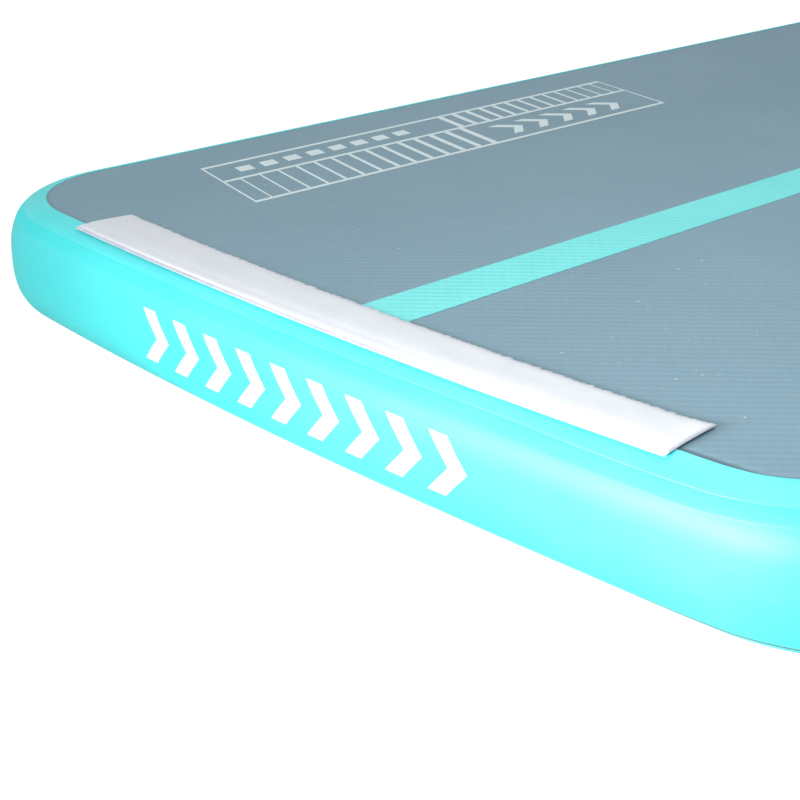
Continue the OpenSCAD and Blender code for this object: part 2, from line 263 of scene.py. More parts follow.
def inset_of(x, y):
    """Distance of a deck point from the outermost edge."""
    x, y = np.abs(x), np.abs(y)
    side = HALF_W - x
    corner = CORNER_R - np.hypot(x - CORNER_X, y + CORNER_Y)
    end = END_R - np.hypot(x, END_CY + y)
    in_wedge = x * math.cos(CORNER_A) <= (END_CY + y) * math.sin(CORNER_A)
    return np.where(y > -CORNER_Y, np.where(in_wedge, end, corner), side)


CORNER_END = (0.60, 1.10)          # where the right near corner's own shape fades out, along the edge


def seam_in(along):
    """Inset of the top seam: the tape's outer edge climbs at the right near corner."""
    climb = band(along, (0.35, 0.45), CORNER_END)
    dip = band(along, (0.20, 0.30), (0.33, 0.385))
    return SEAM_IN + 5.6 * MM * climb - 1.0 * MM * dip


def border_in(along):
    """Inset of the border tape's inner edge, which widens at the same corner."""
    return BORDER_IN + 12.5 * MM * band(along, (0.35, 0.44), CORNER_END)


def bottom_in(along):
    """Inset of the bottom tape's outer edge, which comes up into sight at the right near corner."""
    return BOTTOM_SEAM_IN - 10.6 * MM * band(along, (0.24, 0.42), CORNER_END)


# -------- section of the inflated side
SIDE_POWER = 2.68
SIDE_DEPTH = 48 * MM


def side_section():
    t = np.linspace(math.pi / 2, -math.pi / 2, 6001)
    c, s = np.abs(np.cos(t)), np.sin(t)
    inset = SIDE_DEPTH * (1 - c ** (2 / SIDE_POWER))
    z = MID_Z * (1 + np.sign(s) * np.abs(s) ** (2 / SIDE_POWER))
    step = np.hypot(np.diff(inset), np.diff(z))
    run = np.concatenate([[0], np.cumsum(step)])
    tx, tz = -np.gradient(inset), np.gradient(z)
    norm = np.hypot(tx, tz) + 1e-15
    return run, inset, z, -tz / norm, tx / norm


RUN, SEC_IN, SEC_Z, SEC_NX, SEC_NZ = side_section()
SEC_NX[0], SEC_NZ[0], SEC_NX[-1], SEC_NZ[-1] = 0, 1, 0, -1
GIRTH = RUN[-1]


def run_at_inset(inset):
    """Distance down the section, from where the deck goes flat, at this inset on the upper half."""
    half = len(RUN) // 2
    return np.interp(-np.asarray(inset, float), -SEC_IN[:half], RUN[:half])


WALL_TOP = run_at_inset(LAP_IN)


def section(run, off):
    """Inset and height of a point off metres proud of the section, run metres down it."""
    run, off = np.broadcast_arrays(np.asarray(run, float), np.asarray(off, float))
    r = np.clip(run, 0, GIRTH)
    extra = np.where(run < 0, -run, np.where(run > GIRTH, run - GIRTH, 0))
    inset = np.interp(r, RUN, SEC_IN) + extra
    z = np.interp(r, RUN, SEC_Z)
    nx, nz = np.interp(r, RUN, SEC_NX), np.interp(r, RUN, SEC_NZ)
    return inset - off * nx, z + off * nz


def skin_points(p, n, run, off):
    """Points of the inflated skin: p and n are outline points (N), run and off are (M) or (N, M)."""
    inset, z = section(run, off)
    inset, z = (np.broadcast_to(v, (len(p), v.shape[-1])) for v in (inset, z))
    xy = p[:, None, :] - n[:, None, :] * inset[..., None]
    return np.concatenate([xy, z[..., None]], -1)


def waviness(along, run):
    """Small lumps and pulls of the inflated wall, in metres."""
    along = along[:, None]
    return (0.22 * noise(along / 0.17, run / 0.05, 3) + 0.10 * noise(along / 0.06, run / 0.03, 4)) * MM


# -------- materials
class Look:
    """A procedural material with short-hands for its nodes."""

    def __init__(self, name):
        self.material = bpy.data.materials.new(name)
        self.material.use_nodes = True
        self.tree = self.material.node_tree
        self.tree.nodes.clear()
        self.bsdf = self.node("BsdfPrincipled")
        self.node("OutputMaterial", {"Surface": self.bsdf.outputs[0]})

    def node(self, kind, inputs=None, **settings):
        made = self.tree.nodes.new("ShaderNode" + kind)
        for key, value in settings.items():
            setattr(made, key, value)
        for key, value in (inputs or {}).items():
            self.put(made.inputs[key], value)
        return made

    def put(self, socket, value):
        if isinstance(value, bpy.types.NodeSocket):
            self.tree.links.new(value, socket)
        else:
            socket.default_value = value

    def math(self, op, a, b=0.0, c=0.0):
        return self.node("Math", {0: a, 1: b, 2: c}, operation=op).outputs[0]

    def add(self, *values):
        total = values[0]
        for value in values[1:]:
            total = self.math("ADD", total, value)
        return total

    def times(self, a, b):
        return self.math("MULTIPLY", a, b)

    def weigh(self, *pairs):
        """The sum of values, each times its weight."""
        return self.add(*[self.times(value, weight) for value, weight in pairs])

    def place(self):
        return self.node("TexCoord").outputs["Object"]

    def cloth(self):
        return self.node("Attribute", attribute_name="fabric").outputs["Vector"]

    def split(self, vector):
        return self.node("SeparateXYZ", {"Vector": vector}).outputs

    def noise(self, vector, scale, detail=2.0, rough=0.5, stretch=None):
        if stretch is not None:
            vector = self.node("VectorMath", {0: vector, 1: stretch}, operation="MULTIPLY").outputs[0]
        inputs = {"Vector": vector, "Scale": scale, "Detail": detail, "Roughness": rough}
        return self.node("TexNoise", inputs).outputs["Fac"]

    def span(self, value, low, high, to_low=0.0, to_high=1.0):
        return self.node("MapRange", {"Value": value, "From Min": low, "From Max": high,
                                      "To Min": to_low, "To Max": to_high}).outputs["Result"]

    def sway(self, value, low=-1, high=1):
        """The middle of a noise's range, spread over another one."""
        return self.span(value, 0.3, 0.7, low, high)

    def wave(self, value, pitch):
        """A ridge every pitch metres: from -1 to 1."""
        return self.math("SINE", self.times(value, TAU / pitch))

    def blend(self, share, a, b):
        a, b = ((*c, 1) if isinstance(c, tuple) else c for c in (a, b))
        return self.node("Mix", {"Factor": share, "A": a, "B": b}, data_type="RGBA").outputs["Result"]

    def finish(self, color, roughness, specular, relief=None, metallic=0.0):
        """relief is in metres."""
        for name, value in (("Base Color", color), ("Roughness", roughness),
                            ("Specular IOR Level", specular), ("Metallic", metallic)):
            self.put(self.bsdf.inputs[name], value)
        if relief is not None:
            made = self.node("Bump", {"Height": relief, "Strength": 1.0, "Distance": 1.0})
            self.put(self.bsdf.inputs["Normal"], made.outputs[0])
        return self.material


RIB_PITCH = 8.6 * MM


def emboss(look, x, y, height):
    """The diamond relief that the spacer yarns leave in the deck: two diagonal families of ribs."""
    k = 1 / math.sqrt(2)
    one = look.times(look.math("SUBTRACT", x, y), k)
    two = look.times(look.math("ADD", x, y), k)
    ribs = look.add(look.wave(one, RIB_PITCH), look.times(look.wave(two, RIB_PITCH), 0.25))
    return look.times(ribs, height)


def rib_painted_shade(look, x, y):
    """The same relief as painted shade from -1 to 1: the ridges lighter and the grooves darker."""
    return look.span(emboss(look, x, y, 1.0), -1.4, 1.4, -1, 1)


def deck_look():
    look = Look("deck_pvc")
    place = look.place()
    x, y, _ = look.split(place)
    grain = look.noise(place, 900, 3)
    cloudy = look.noise(place, 6, 3)
    mottled = look.noise(place, 60, 3)
    thread = look.add(look.wave(x, 1.3 * MM), look.wave(y, 1.3 * MM))
    relief = look.add(emboss(look, x, y, 0.055 * MM), look.times(thread, 0.010 * MM),
                      look.times(grain, 0.05 * MM))
    # painted shade: the ribs make the deck's colour lighter on their ridges and darker in their grooves
    shade = look.weigh((rib_painted_shade(look, x, y), 0.10),
                       (look.sway(mottled), 0.06), (look.sway(cloudy), 0.18), (look.sway(grain), 0.12))
    color = look.blend(look.span(shade, -0.5, 0.5), (0.172, 0.300, 0.378), (0.222, 0.362, 0.442))
    speck = look.span(look.noise(place, 260, 0), 0.86, 0.875)
    color = look.blend(speck, color, (0.62, 0.70, 0.74))
    return look.finish(color, look.sway(mottled, 0.50, 0.60), 0.35, relief)


def turquoise_look(name, dark, light, weave, rough=(0.46, 0.54), specular=0.5, layered=False,
                   edge_painted_shade=False):
    """Satin PVC over a woven scrim: the weave shows faintly through the coat. A layered wall is
    duller above the edge of the layer under it, and a band of painted shade darkens a tape's top edge."""
    look = Look(name)
    cloth = look.cloth()
    u, v, below = look.split(cloth)
    scrim = look.add(look.wave(u, 1.5 * MM), look.wave(v, 1.5 * MM))
    patchy = look.noise(cloth, 9, 3)
    fine = look.noise(cloth, 1400, 2)
    smear = look.noise(cloth, 40, 3, 0.6, (1.0, 4.0, 1.0))
    shade = look.weigh((look.sway(patchy), 0.35), (look.sway(smear), 0.15), (scrim, 0.10))
    color = look.blend(look.span(shade, -0.5, 0.5), dark, light)
    if edge_painted_shade:
        # painted shade: a dark band along the tape's top edge, where the wall laps over it
        color = look.blend(look.span(below, 1.3 * MM, 2.2 * MM, 1, 0), color, (0.085, 0.135, 0.13))
    gloss = look.sway(smear, *rough)
    if layered:
        edge = (LAYER_BELOW - 0.4 * MM, LAYER_BELOW + 0.4 * MM)
        gloss = look.add(gloss, look.span(below, *edge, 0.24, 0.0))
    relief = look.weigh((scrim, weave * MM), (fine, 0.008 * MM), (smear, 0.05 * MM))
    return look.finish(color, gloss, specular, relief)


def stripe_look():
    look = Look("stripe_pvc")
    place = look.place()
    x, y, _ = look.split(place)
    patchy, fine = look.noise(place, 14, 3), look.noise(place, 900, 3)
    # painted shade: the ribs make the stripe's colour lighter on their ridges and darker in their
    # grooves
    shade = look.weigh((look.sway(patchy), 0.35), (rib_painted_shade(look, x, y), 0.25))
    color = look.blend(look.span(shade, -0.6, 0.6), (0.14, 0.76, 0.76), (0.20, 0.83, 0.82))
    relief = look.add(emboss(look, x, y, 0.07 * MM), look.times(fine, 0.04 * MM))
    return look.finish(color, look.sway(patchy, 0.42, 0.52), 0.4, relief)


def pile_look():
    look = Look("loop_pile")
    place = look.place()
    curls = look.noise(place, 1100, 4, 0.7)
    tufts = look.noise(place, 380, 3, 0.6)
    broad = look.noise(place, 25, 2)
    color = look.blend(look.span(look.add(curls, look.times(broad, 0.4)), 0.5, 0.9),
                       (0.62, 0.66, 0.72), (0.71, 0.75, 0.81))
    look.bsdf.inputs["Sheen Weight"].default_value = 0.25
    look.bsdf.inputs["Sheen Roughness"].default_value = 0.6
    return look.finish(color, 0.95, 0.15, look.weigh((curls, 0.05 * MM), (tufts, 0.03 * MM)))


def tape_cloth_look():
    look = Look("strip_backing")
    place = look.place()
    x, y, _ = look.split(place)
    warp, weft = look.wave(x, 0.9 * MM), look.wave(y, 0.7 * MM)
    blotch = look.noise(place, 80, 3)
    color = look.blend(look.span(blotch, 0.3, 0.7), (0.58, 0.60, 0.70), (0.72, 0.74, 0.82))
    return look.finish(color, 0.7, 0.3, look.times(look.times(warp, weft), 0.05 * MM))


def ink_look():
    look = Look("print_ink")
    place = look.place()
    x, y, _ = look.split(place)
    worn, fine = look.noise(place, 500, 3, 0.7), look.noise(place, 70, 3)
    color = look.blend(look.span(worn, 0.25, 0.45), (0.50, 0.68, 0.71), (0.68, 0.81, 0.83))
    relief = look.add(emboss(look, x, y, 0.05 * MM), look.times(worn, 0.02 * MM))
    return look.finish(color, look.sway(fine, 0.38, 0.5), 0.4, relief)


def base_look():
    look = Look("base_pvc")
    place = look.place()
    x, y, _ = look.split(place)
    grain, patchy = look.noise(place, 900, 3), look.noise(place, 9, 4)
    scuff = look.noise(place, 60, 4, 0.7, (1.0, 0.15, 1.0))
    color = look.blend(look.span(look.add(patchy, look.times(scuff, 0.5)), 0.5, 1.0),
                       (0.115, 0.135, 0.155), (0.175, 0.20, 0.225))
    relief = look.add(emboss(look, x, y, 0.09 * MM), look.times(grain, 0.06 * MM))
    return look.finish(color, look.sway(scuff, 0.5, 0.7), 0.35, relief)


def plain_cloth_look(name, dark, light, pitch, rough=0.8):
    """Woven cloth by its place in space, for the fabrics and yarns inside the mat."""
    look = Look(name)
    place = look.place()
    x, y, z = look.split(place)
    weave = look.times(look.wave(x, pitch), look.wave(look.add(y, z), pitch))
    blotch = look.noise(place, 50, 3)
    shade = look.sway(look.add(blotch, look.times(weave, 0.1)), 0, 1)
    return look.finish(look.blend(shade, dark, light), rough, 0.3, look.times(weave, 0.06 * MM))


def webbing_look():
    look = Look("webbing")
    u, v, _ = look.split(look.cloth())
    ribs = look.wave(u, 1.9 * MM)
    threads = look.wave(look.add(v, look.times(look.wave(u, 3.8 * MM), 0.35 * MM)), 1.1 * MM)
    fuzz = look.noise(look.cloth(), 1500, 3, 0.7)
    shade = look.span(look.add(look.times(ribs, 0.3), look.times(threads, 0.3), fuzz), 0.0, 1.1)
    color = look.blend(shade, (0.018, 0.021, 0.026), (0.062, 0.070, 0.082))
    look.bsdf.inputs["Sheen Weight"].default_value = 0.15
    relief = look.weigh((ribs, 0.10 * MM), (threads, 0.07 * MM), (fuzz, 0.06 * MM))
    return look.finish(color, 0.75, 0.3, relief)


def moulded_look(name, dark, light, rough, grain=0.02, specular=0.45):
    look = Look(name)
    place = look.place()
    fine, broad = look.noise(place, 1600, 3, 0.6), look.noise(place, 90, 3)
    wear = look.span(look.noise(place, 260, 5, 0.75), 0.58, 0.72)
    color = look.blend(look.span(broad, 0.3, 0.7), dark, light)
    color = look.blend(look.times(wear, 0.25), color, tuple(min(1.0, 1.6 * c) for c in light))
    gloss = look.sway(fine, rough - 0.06, rough + 0.06)
    return look.finish(color, gloss, specular, look.times(fine, grain * MM))


def steel_look():
    look = Look("spring_steel")
    place = look.place()
    fine = look.noise(place, 2400, 3, 0.6)
    color = look.blend(fine, (0.50, 0.51, 0.53), (0.66, 0.67, 0.69))
    return look.finish(color, look.sway(fine, 0.22, 0.34), 0.5, look.times(fine, 0.01 * MM), 1.0)


DECK = deck_look()
WALL_PVC = turquoise_look("wall_pvc", (0.044, 0.70, 0.725), (0.070, 0.77, 0.795), 0.010,
                          rough=(0.47, 0.53), specular=0.55, layered=True)
TAPE_PVC = turquoise_look("tape_pvc", (0.074, 0.73, 0.755), (0.104, 0.81, 0.835), 0.003,
                          rough=(0.34, 0.42), specular=0.62)
BOTTOM_PVC = turquoise_look("bottom_tape_pvc", (0.07, 0.50, 0.52), (0.10, 0.58, 0.60), 0.003,
                            edge_painted_shade=True)
STRIPE = stripe_look()
PILE = pile_look()
TAPE_CLOTH = tape_cloth_look()
INK = ink_look()
BASE = base_look()
INNER = plain_cloth_look("inner_pvc", (0.62, 0.64, 0.62), (0.74, 0.76, 0.74), 1.4 * MM, 0.5)
DROP = plain_cloth_look("drop_stitch_fabric", (0.66, 0.66, 0.60), (0.80, 0.80, 0.74), 1.0 * MM)
YARN = plain_cloth_look("yarn", (0.70, 0.70, 0.64), (0.84, 0.84, 0.78), 0.5 * MM)
WEBBING = webbing_look()
PLASTIC = moulded_look("valve_plastic", (0.055, 0.062, 0.070), (0.075, 0.083, 0.092), 0.42)
RUBBER = moulded_look("seal_rubber", (0.010, 0.010, 0.011), (0.020, 0.020, 0.022), 0.62, 0.03, 0.3)
STEEL = steel_look()


# -------- outer skins
def ring_solid(name, loop_run, loop_off, path=None, below_seam=None):
    """A closed ring swept round the outline. loop_run and loop_off are (M) or (N, M) and go round
    the section once."""
    p, n, along = path or (PATH_P, PATH_N, PATH_S)
    points = skin_points(p, n, loop_run, loop_off)
    grid = points.shape[:2]
    run = np.broadcast_to(loop_run, grid)
    below = 0.0 if below_seam is None else run - below_seam[:, None]
    fabric = xyz(along[:, None], run, below)
    return new_object(name, points, grid_faces(*grid, wrap_n=True, wrap_m=True), fabric=fabric)


def with_port_hole(obj):
    """Opens the round hole that the valve body passes through."""
    sides = 96
    a = full_turn(sides)
    y, z = VALVE_Y + PORT_HOLE_R * np.cos(a), MID_Z + PORT_HOLE_R * np.sin(a)
    ends = [xyz(x, y, z) for x in (-HALF_W - 12 * MM, -HALF_W + 20 * MM)]
    caps = [list(range(sides)), list(range(sides, 2 * sides))[::-1]]
    cutter = new_object("port_cutter", np.concatenate(ends), grid_faces(2, sides, False, True) + caps)
    cut = obj.modifiers.new("port", "BOOLEAN")
    cut.operation, cut.solver, cut.object = "DIFFERENCE", "EXACT", cutter
    bpy.context.view_layer.update()
    state = bpy.context.evaluated_depsgraph_get()
    mesh = bpy.data.meshes.new_from_object(obj.evaluated_get(state), preserve_all_data_layers=True,
                                           depsgraph=state)
    copy_fabric(obj.data, mesh)
    obj.modifiers.clear()
    obj.data = mesh
    bpy.data.objects.remove(cutter)
    return obj


def copy_fabric(old, new):
    """Gives each point of a cut mesh the cloth place of the nearest point before the cut."""
    tree = KDTree(len(old.vertices))
    for k, vertex in enumerate(old.vertices):
        tree.insert(vertex.co, k)
    tree.balance()
    nearest = [tree.find(vertex.co)[1] for vertex in new.vertices]
    places = np.empty(len(old.vertices) * 3, np.float32)
    old.attributes["fabric"].data.foreach_get("vector", places)
    if "fabric" in new.attributes:
        new.attributes.remove(new.attributes["fabric"])
    write_fabric(new, places.reshape(-1, 3)[nearest])


def wall_shell():
    top, bottom = WALL_TOP, GIRTH - WALL_TOP
    outer, inner = np.linspace(top, bottom, 108), np.linspace(bottom, top, 24)
    wave = waviness(PATH_S, outer)
    fade = band(outer, (top, top + 20 * MM), (bottom - 20 * MM, bottom))
    # a second layer ends under the wall a little below the seam, and shows at the corners
    seam = run_at_inset(seam_in(PATH_S))
    edge = (seam + LAYER_BELOW)[:, None]
    layer = 0.40 * MM * smooth(np.abs(PATH_S), 0.24, 0.42)[:, None] * (
        1 - smooth(outer, edge - 0.8 * MM, edge + 0.8 * MM))
    off = np.concatenate([-TAPE + wave * fade + layer,
                          np.full((len(PATH_S), len(inner)), -TAPE - WALL)], 1)
    return ring_solid("side_wall", np.concatenate([outer, inner]), off, below_seam=seam)


def lap_marks(along, run):
    """Where one length of tape laps another: low steps across the tape, in metres."""
    seam = run_at_inset(SEAM_IN)
    marks = [(-0.270, -0.105, 5.5, 0.16), (0.113, 0.135, 5.0, 0.20), (0.600, 0.70, 8, 0.2),
             (-0.66, -0.60, 8, 0.2)]      # from and to in metres, depth and rise in millimetres
    total, soft, sharp = 0, 0.8 * MM, 0.4 * MM
    for low, high, depth, rise in marks:
        across = band(along[:, None], (low - soft, low + soft), (high - soft, high + soft))
        top = seam - depth * MM
        total = total + across * smooth(run, top - sharp, top + sharp) * rise * MM
    return total


def tape_ring(name, run, off, below_seam=None):
    """A tape with the given outer face; its back is flat and lies just off the skins."""
    back = np.stack([run[:, -1], run[:, run.shape[1] // 2], run[:, 0]], 1)
    back_off = np.full(back.shape, -TAPE - UNDER_TAPE)
    return ring_solid(name, np.concatenate([run, back], 1), np.concatenate([off, back_off], 1),
                      below_seam=below_seam)


def top_tape():
    inner, seam = run_at_inset(border_in(PATH_S)), run_at_inset(seam_in(PATH_S))
    wobble = lumps(PATH_S, (0.5, 0.09, 11), (0.25, 0.02, 12)) * MM
    edge_wobble = lumps(PATH_S, (0.35, 0.12, 13), (0.15, 0.015, 14)) * MM
    share = np.concatenate([np.linspace(0, 0.02, 4)[:-1], np.linspace(0.02, 0.97, 34),
                            np.linspace(0.97, 1, 5)[1:]])
    run = (inner + edge_wobble)[:, None] * (1 - share) + (seam + wobble)[:, None] * share
    # the skin under the tape ends here, and the tape steps down off it
    step = run_at_inset(27 * MM + 6 * MM * smooth(np.abs(PATH_S), 0.31, 0.42))[:, None]
    thick = -0.30 * MM * smooth(run, step - 0.5 * MM, step + 0.7 * MM)
    ripple = 0.06 * MM * noise(PATH_S[:, None] / 0.012, run / 0.006, 15)
    round_in = -0.45 * TAPE * (1 - smooth(share, 0, 0.018)) - 0.35 * TAPE * smooth(share, 0.982, 1)
    off = thick + lap_marks(PATH_S, run) + ripple + round_in + waviness(PATH_S, run.mean(0)) * share**2
    return tape_ring("top_border_tape", run, off)


def bottom_tape():
    inner, seam = GIRTH - run_at_inset(BORDER_IN), GIRTH - run_at_inset(bottom_in(PATH_S))
    wobble = lumps(PATH_S, (0.5, 0.1, 21), (0.2, 0.02, 22)) * MM
    share = np.concatenate([np.linspace(0, 0.03, 4)[:-1], np.linspace(0.03, 1, 22)])
    run = (seam + wobble)[:, None] * (1 - share) + inner * share
    ripple = 0.05 * MM * noise(PATH_S[:, None] / 0.014, run / 0.006, 23)
    off = ripple * (1 - share) - 0.75 * TAPE * (1 - smooth(share, 0, 0.12))
    return tape_ring("bottom_border_tape", run, off, seam + wobble)


def inner_liner():
    steps = 30
    run = np.concatenate([np.linspace(WALL_TOP, GIRTH - WALL_TOP, steps),
                          np.linspace(GIRTH - WALL_TOP, WALL_TOP, steps)])
    off = -TAPE - WALL - np.repeat([0.2, 0.9], steps) * MM
    return ring_solid("inner_wall_liner", run, off, (PATH_P[::6], PATH_N[::6], PATH_S[::6]))


def flat_panel(name, top_of, under_of, rows):
    """A thin closed panel over the whole plan, PANEL_IN inside the outermost edge."""
    half, corner_r, end_r = HALF_W - PANEL_IN, CORNER_R - PANEL_IN, END_R - PANEL_IN
    t = np.linspace(-1, 1, 120)
    xs = half * np.sin(t * math.pi / 2) * 0.35 + half * t * 0.65      # closer together at the edges
    a = np.abs(xs)
    end_len = np.sqrt(end_r**2 - a**2) - END_CY
    corner_len = -CORNER_Y + np.sqrt(np.maximum(corner_r**2 - np.maximum(a - CORNER_X, 0) ** 2, 0))
    length = np.where(a <= end_r * math.sin(CORNER_A), end_len, corner_len)
    v = np.linspace(-1, 1, rows)
    v = 0.7 * v + 0.3 * np.sin(v * math.pi / 2)
    x = np.repeat(xs[:, None], rows, 1)
    y = length[:, None] * v[None, :]
    sheets = [xyz(x, y, height_of(x, y)) for height_of in (top_of, under_of)]
    return new_object(name, np.stack(sheets), two_sheets(*x.shape))


def deck_height(x, y):
    """Height of the deck skin: flat in the middle, and rolling over towards the border tape."""
    run = run_at_inset(np.minimum(inset_of(x, y), SIDE_DEPTH))
    _, z = section(run, -TAPE)
    return z


shell = finish_piece(with_port_hole(wall_shell()), WALL_PVC,
                     "near_end_wall", "far_end_wall", "left_side_wall", "right_side_wall")
finish_piece(top_tape(), TAPE_PVC,
             "near_top_tape", "far_top_tape", "left_top_tape", "right_top_tape")
finish_piece(bottom_tape(), BOTTOM_PVC,
             "near_bottom_tape", "far_bottom_tape", "left_bottom_tape", "right_bottom_tape")
finish_piece(with_port_hole(inner_liner()), INNER,
             "near_inner_wall", "far_inner_wall", "left_inner_wall", "right_inner_wall")
deck = finish_piece(flat_panel("deck_cover", deck_height, lambda x, y: deck_height(x, y) - SKIN, 260),
                    DECK, "deck_skin")
under = finish_piece(flat_panel("base_cover", lambda x, y: TOP_Z - deck_height(x, y) + SKIN,
                                lambda x, y: TOP_Z - deck_height(x, y) - 0.75 * TAPE, 160),
                     BASE, "base_skin")


# -------- guide stripe
def guide_stripe():
    """A thin film glued to the deck, between two edges that waver a little."""
    low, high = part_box("guide_stripe")
    y = np.linspace(low.y, high.y, max(2, int((high.y - low.y) / (2.5 * MM))))[:, None]
    u = np.linspace(0, 1, 9)[None, :]
    left = low.x + lumps(y, (0.6, 0.05, 31), (0.4, 0.007, 32)) * 0.3 * MM
    right = high.x + lumps(y, (0.6, 0.06, 33), (0.4, 0.006, 34)) * 0.3 * MM
    x = left * (1 - u) + right * u
    base = deck_height(x, np.broadcast_to(y, x.shape))
    return closed_sheet("guide_stripe_film", xyz(x, y, base + 0.4 * MM), xyz(x, y, base - 0.1 * MM))


finish_piece(guide_stripe(), STRIPE, "guide_stripe")


# -------- loop strips
STRIP_HALF = 320 * MM               # half its length
STRIP_IN, STRIP_OUT = 79 * MM, 24 * MM   # insets of its two long edges
SELVAGE = 3 * MM                    # the outer edge that has no loops


def strip_grid(step_along, step_across, in_edge, out_edge, half=STRIP_HALF):
    """Places along and across the strip: the distance along, the inset, and the outline there."""
    along = np.linspace(-half, half, int(2 * half / step_along) + 1)
    a = along / END_R
    p = np.stack([END_R * np.sin(a), END_CY - END_R * np.cos(a)], -1)
    n = np.stack([np.sin(a), -np.cos(a)], -1)
    inset = np.linspace(in_edge, out_edge, int(abs(in_edge - out_edge) / step_across) + 1)
    return along, inset, p, n


def strip_rest(inset):
    """How far above the section the strip's underside rests: it eases down off the tape, and its
    stiff outer edge stands a little off the shoulder."""
    edge_lift = 2.2 * MM * (1 - smooth(inset, STRIP_OUT - 6 * MM, STRIP_OUT + 14 * MM))
    return edge_lift - TAPE * smooth(inset, BORDER_IN + 2.0 * MM, STRIP_IN) + 0.35 * MM


def end_lift(along, inset):
    """The strip's right end has come away a little and curls up."""
    near_end = smooth(along, STRIP_HALF - 30 * MM, STRIP_HALF + 6 * MM)
    return 1.3 * MM * near_end**1.5 * smooth(inset, 34 * MM, 76 * MM)


def strip_points(inset, p, n, off, side):
    run = np.where(inset < SIDE_DEPTH, run_at_inset(np.minimum(inset, SIDE_DEPTH)), SIDE_DEPTH - inset)
    points = skin_points(p, n, np.broadcast_to(run, off.shape), off)
    points[..., :2] *= side
    return points


def loop_strip(side, word):
    """The woven backing and the brushed loops on it. side is 1 at the near end and -1 at the far one."""

    def underside(a, i):
        lift = end_lift(a, i) if side > 0 else 0
        return strip_rest(i) + lift + 0.06 * MM * noise(a / 0.03, i / 0.02, 41)

    along, inset, p, n = strip_grid(2 * MM, 1.5 * MM, STRIP_IN, STRIP_OUT)
    rest = underside(along[:, None], inset[None, :])
    backing = closed_sheet(word + "_strip_tape", *(
        strip_points(inset, p, n, rest + off, side) for off in (0.7 * MM, -0.1 * MM)))

    step, pile_half = 0.8 * MM, STRIP_HALF + 0.3 * MM
    along, inset, p, n = strip_grid(step, step, STRIP_IN + 0.6 * MM, STRIP_OUT + SELVAGE, pile_half)
    a, i = along[:, None], inset[None, :]
    rest = underside(a, i)
    edge = np.minimum(np.minimum(i - inset.min(), 0.22 * (inset.max() - i)), pile_half - np.abs(a))
    dome = 1 - np.exp(-edge / (0.8 * MM))
    fuzz = sum(height * noise(a / (size * MM), i / (size * MM), seed)
               for height, size, seed in ((0.02, 1.7, 42), (0.03, 0.8, 43), (0.04, 9, 44)))
    top = rest + (0.75 + 1.15 * dome + fuzz * (0.35 + 0.65 * dome)) * MM
    # the brushed inner edge is ragged
    rag = lumps(along, (0.9, 2.6 * MM, 45), (0.7, 1.3 * MM, 46)) * MM
    ragged = i + rag[:, None] * smooth(i, STRIP_IN - 3.5 * MM, STRIP_IN)
    pile = closed_sheet(word + "_strip_pile", *(
        strip_points(ragged, p, n, off, side) for off in (top, rest + 0.6 * MM)))
    return backing, pile


for side, word in ((1, "near"), (-1, "far")):
    backing, pile = loop_strip(side, word)
    finish_piece(backing, TAPE_CLOTH, word + "_strip_backing")
    finish_piece(pile, PILE, word + "_loop_pile")


# -------- printed markings
SLANT = 0.262
FRAME_Y = 197 * MM - END_Y
FRAME_LEN = 598 * MM
INNER_X, MID_X, OUTER_X = -273 * MM, -348 * MM, -402 * MM
INK_FACES = (0.18 * MM, -0.1 * MM)   # the ink's upper and lower faces, over the skin


class Print(Shapes):
    """Inked shapes, each a small grid laid on the skin."""

    def film(self, top, low):
        self.take(np.stack([top, low]), two_sheets(*top.shape[:2]))

    def deck_quad(self, corners, step=6 * MM):
        """corners: four deck points in order."""
        a, b, c, d = (np.array(q, float) for q in corners)
        n = max(2, int(np.linalg.norm(b - a) / step) + 1)
        m = max(2, int(np.linalg.norm(d - a) / step) + 1)
        u, v = np.linspace(0, 1, n)[:, None, None], np.linspace(0, 1, m)[None, :, None]
        q = a * (1 - u) * (1 - v) + b * u * (1 - v) + c * u * v + d * (1 - u) * v
        z = deck_height(q[..., 0], q[..., 1])[..., None]
        self.film(*(np.concatenate([q, z + off], -1) for off in INK_FACES))

    def lean(self, x_a, x_b, y, w):
        """A bar of the slanted frame, w long, between two of its long lines."""
        y_a = FRAME_Y + y + SLANT * (INNER_X - x_a)
        y_b = FRAME_Y + y + SLANT * (INNER_X - x_b)
        self.deck_quad([(x_a, y_a), (x_a, y_a + w), (x_b, y_b + w), (x_b, y_b)][::-1])

    def build(self, name):
        obj = self.made(name)
        sharpen(obj, 50)
        return obj


def deck_marks():
    ink = Print()
    line, thin = 5 * MM, 2.2 * MM
    ink.lean(INNER_X, INNER_X - line, 0, FRAME_LEN)
    ink.lean(MID_X + line / 2, MID_X - line / 2, 0, FRAME_LEN)
    ink.lean(OUTER_X + line, OUTER_X, 0, FRAME_LEN)
    gap = 0.4 * MM
    inner_row = (INNER_X - line - gap, MID_X + line / 2 + gap)
    outer_row = (MID_X - line / 2 - gap, OUTER_X + line + gap)
    for row in (inner_row, outer_row):
        ink.lean(*row, 0, thin)
        ink.lean(*row, FRAME_LEN - thin, thin)
    for i in range(14):
        ink.lean(*inner_row, (20 + 22.8 * i) * MM, (1.8 + 5.6 * i / 13) * MM)
    for i in range(13):
        ink.lean(*outer_row, (322 + 21.3 * i) * MM, (7.4 - 5.6 * i / 13) * MM)
    for i in range(5):
        chevron(ink, INNER_X - 18 * MM, MID_X + 18 * MM, FRAME_Y + (365 + 40 * i) * MM, 14 * MM)
    for i in range(8):
        ink.lean(MID_X - 18 * MM, OUTER_X + 20 * MM, (32 + 30 * i) * MM, 18 * MM)
    return ink.build("deck_markings")


